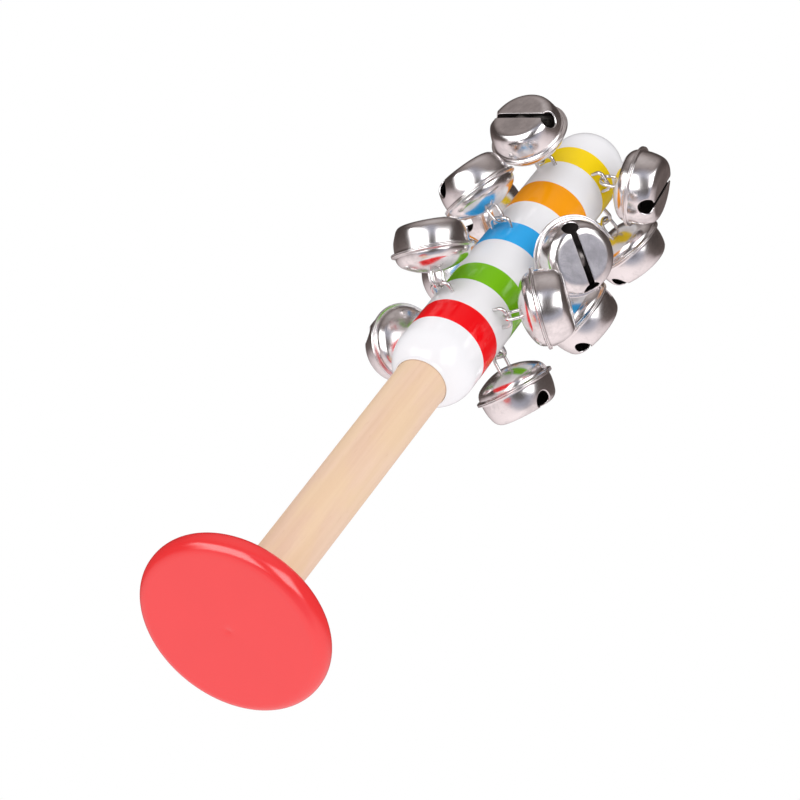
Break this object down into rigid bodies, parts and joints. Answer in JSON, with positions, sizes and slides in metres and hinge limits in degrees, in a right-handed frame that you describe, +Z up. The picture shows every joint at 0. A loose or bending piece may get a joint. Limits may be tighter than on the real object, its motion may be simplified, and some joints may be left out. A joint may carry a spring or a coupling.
{
  "type": "sleigh bells",
  "caption": "Hand bell stick: disc foot, straight wooden handle and turned head with jingle bells hooked under wire staples in three rows.",
  "frame": {"origin": "centre of the foot's flat bottom face", "axes": "+Z up the stick from the foot to the tip of the head; the bells hang round it"},
  "size_m": [0.0673, 0.0656, 0.2522],
  "materials": {
    "red_paint": "gloss paint on wood",
    "bare_wood": "smooth bare wood",
    "white_paint": "gloss paint on wood, with red, green, blue, orange and yellow bands",
    "wire": "bright steel wire",
    "bell_steel": "bright nickel plate",
    "pellet_steel": "plain steel ball"
  },
  "bodies": {
    "stick": {"foot": "red_paint", "handle": "bare_wood", "head": "white_paint", "staples": "wire"},
    "bell_1a": {"bell_1a_dome_cup": "bell_steel", "bell_1a_slotted_cup": "bell_steel", "bell_1a_shank_loop": "wire"},
    "pellet_1a": {"bell_1a_pellet": "pellet_steel"},
    "bell_1b": {"bell_1b_dome_cup": "bell_steel", "bell_1b_slotted_cup": "bell_steel", "bell_1b_shank_loop": "wire"},
    "pellet_1b": {"bell_1b_pellet": "pellet_steel"},
    "bell_1c": {"bell_1c_dome_cup": "bell_steel", "bell_1c_slotted_cup": "bell_steel", "bell_1c_shank_loop": "wire"},
    "pellet_1c": {"bell_1c_pellet": "pellet_steel"},
    "bell_1d": {"bell_1d_dome_cup": "bell_steel", "bell_1d_slotted_cup": "bell_steel", "bell_1d_shank_loop": "wire"},
    "pellet_1d": {"bell_1d_pellet": "pellet_steel"},
    "bell_2a": {"bell_2a_dome_cup": "bell_steel", "bell_2a_slotted_cup": "bell_steel", "bell_2a_shank_loop": "wire"},
    "pellet_2a": {"bell_2a_pellet": "pellet_steel"},
    "bell_2b": {"bell_2b_dome_cup": "bell_steel", "bell_2b_slotted_cup": "bell_steel", "bell_2b_shank_loop": "wire"},
    "pellet_2b": {"bell_2b_pellet": "pellet_steel"},
    "bell_2c": {"bell_2c_dome_cup": "bell_steel", "bell_2c_slotted_cup": "bell_steel", "bell_2c_shank_loop": "wire"},
    "pellet_2c": {"bell_2c_pellet": "pellet_steel"},
    "bell_2d": {"bell_2d_dome_cup": "bell_steel", "bell_2d_slotted_cup": "bell_steel", "bell_2d_shank_loop": "wire"},
    "pellet_2d": {"bell_2d_pellet": "pellet_steel"},
    "bell_3a": {"bell_3a_dome_cup": "bell_steel", "bell_3a_slotted_cup": "bell_steel", "bell_3a_shank_loop": "wire"},
    "pellet_3a": {"bell_3a_pellet": "pellet_steel"},
    "bell_3b": {"bell_3b_dome_cup": "bell_steel", "bell_3b_slotted_cup": "bell_steel", "bell_3b_shank_loop": "wire"},
    "pellet_3b": {"bell_3b_pellet": "pellet_steel"},
    "bell_3c": {"bell_3c_dome_cup": "bell_steel", "bell_3c_slotted_cup": "bell_steel", "bell_3c_shank_loop": "wire"},
    "pellet_3c": {"bell_3c_pellet": "pellet_steel"},
    "bell_3d": {"bell_3d_dome_cup": "bell_steel", "bell_3d_slotted_cup": "bell_steel", "bell_3d_shank_loop": "wire"},
    "pellet_3d": {"bell_3d_pellet": "pellet_steel"}
  },
  "joints": [
    {"name": "bell_1a_swing", "type": "hinge", "parent": "stick", "child": "bell_1a", "pos_m": [0.0134, 0.00774, 0.158], "axis": [0.5, -0.866, 0], "range_deg": [-29, 55]},
    {"name": "pellet_1a_travel", "type": "slide", "parent": "bell_1a", "child": "pellet_1a", "axis": [0.9117, 0.3457, -0.2222], "range_m": [-0.007, 0]},
    {"name": "bell_1b_swing", "type": "hinge", "parent": "stick", "child": "bell_1b", "pos_m": [-0.00729, 0.01371, 0.152], "axis": [0.8829, 0.4695, 0], "range_deg": [-56, 28]},
    {"name": "pellet_1b_travel", "type": "slide", "parent": "bell_1b", "child": "pellet_1b", "axis": [-0.3118, 0.9196, 0.2389], "range_m": [-0.007, 0]},
    {"name": "bell_1c_swing", "type": "hinge", "parent": "stick", "child": "bell_1c", "pos_m": [-0.01346, -0.00777, 0.15], "axis": [-0.5, 0.866, 0], "range_deg": [-73, 11]},
    {"name": "pellet_1c_travel", "type": "slide", "parent": "bell_1c", "child": "pellet_1c", "axis": [-0.7423, -0.4286, 0.515], "range_m": [-0.007, 0]},
    {"name": "bell_1d_swing", "type": "hinge", "parent": "stick", "child": "bell_1d", "pos_m": [0.008, -0.01332, 0.151], "axis": [-0.8572, -0.515, 0], "range_deg": [-70, 14]},
    {"name": "pellet_1d_travel", "type": "slide", "parent": "bell_1d", "child": "pellet_1d", "axis": [0.61, -0.6447, 0.4608], "range_m": [-0.007, 0]},
    {"name": "bell_2a_swing", "type": "hinge", "parent": "stick", "child": "bell_2a", "pos_m": [0.01476, 0.00368, 0.191], "axis": [0.2419, -0.9703, 0], "range_deg": [-49, 35]},
    {"name": "pellet_2a_travel", "type": "slide", "parent": "bell_2a", "child": "pellet_2a", "axis": [0.9776, 0.1718, 0.1216], "range_m": [-0.007, 0]},
    {"name": "bell_2b_swing", "type": "hinge", "parent": "stick", "child": "bell_2b", "pos_m": [-0.00737, 0.0133, 0.191], "axis": [0.8746, 0.4848, 0], "range_deg": [-58, 26]},
    {"name": "pellet_2b_travel", "type": "slide", "parent": "bell_2b", "child": "pellet_2b", "axis": [-0.3235, 0.9062, 0.2722], "range_m": [-0.007, 0]},
    {"name": "bell_2c_swing", "type": "hinge", "parent": "stick", "child": "bell_2c", "pos_m": [-0.01167, -0.0098, 0.187], "axis": [-0.6428, 0.766, 0], "range_deg": [-60, 24]},
    {"name": "pellet_2c_travel", "type": "slide", "parent": "bell_2c", "child": "pellet_2c", "axis": [-0.9523, -0.1464, 0.2676], "range_m": [-0.007, 0]},
    {"name": "bell_2d_swing", "type": "hinge", "parent": "stick", "child": "bell_2d", "pos_m": [0.00937, -0.012, 0.189], "axis": [-0.788, -0.6157, 0], "range_deg": [-4, 80]},
    {"name": "pellet_2d_travel", "type": "slide", "parent": "bell_2d", "child": "pellet_2d", "axis": [0.3107, -0.7354, -0.6022], "range_m": [-0.007, 0]},
    {"name": "bell_3a_swing", "type": "hinge", "parent": "stick", "child": "bell_3a", "pos_m": [0.01455, 0.00309, 0.231], "axis": [0.2079, -0.9781, 0], "range_deg": [-44, 40]},
    {"name": "pellet_3a_travel", "type": "slide", "parent": "bell_3a", "child": "pellet_3a", "axis": [0.9505, 0.3089, 0.0347], "range_m": [-0.007, 0]},
    {"name": "bell_3b_swing", "type": "hinge", "parent": "stick", "child": "bell_3b", "pos_m": [-0.00746, 0.01292, 0.226], "axis": [0.866, 0.5, 0], "range_deg": [-38, 46]},
    {"name": "pellet_3b_travel", "type": "slide", "parent": "bell_3b", "child": "pellet_3b", "axis": [-0.5287, 0.8459, -0.0697], "range_m": [-0.007, 0]},
    {"name": "bell_3c_swing", "type": "hinge", "parent": "stick", "child": "bell_3c", "pos_m": [-0.0128, -0.00769, 0.224], "axis": [-0.515, 0.8572, 0], "range_deg": [-25, 59]},
    {"name": "pellet_3c_travel", "type": "slide", "parent": "bell_3c", "child": "pellet_3c", "axis": [-0.7178, -0.6339, -0.2879], "range_m": [-0.007, 0]},
    {"name": "bell_3d_swing", "type": "hinge", "parent": "stick", "child": "bell_3d", "pos_m": [0.00654, -0.0134, 0.227], "axis": [-0.8988, -0.4384, 0], "range_deg": [-47, 37]},
    {"name": "pellet_3d_travel", "type": "slide", "parent": "bell_3d", "child": "pellet_3d", "axis": [0.8646, -0.4972, 0.0723], "range_m": [-0.007, 0]}
  ]
}
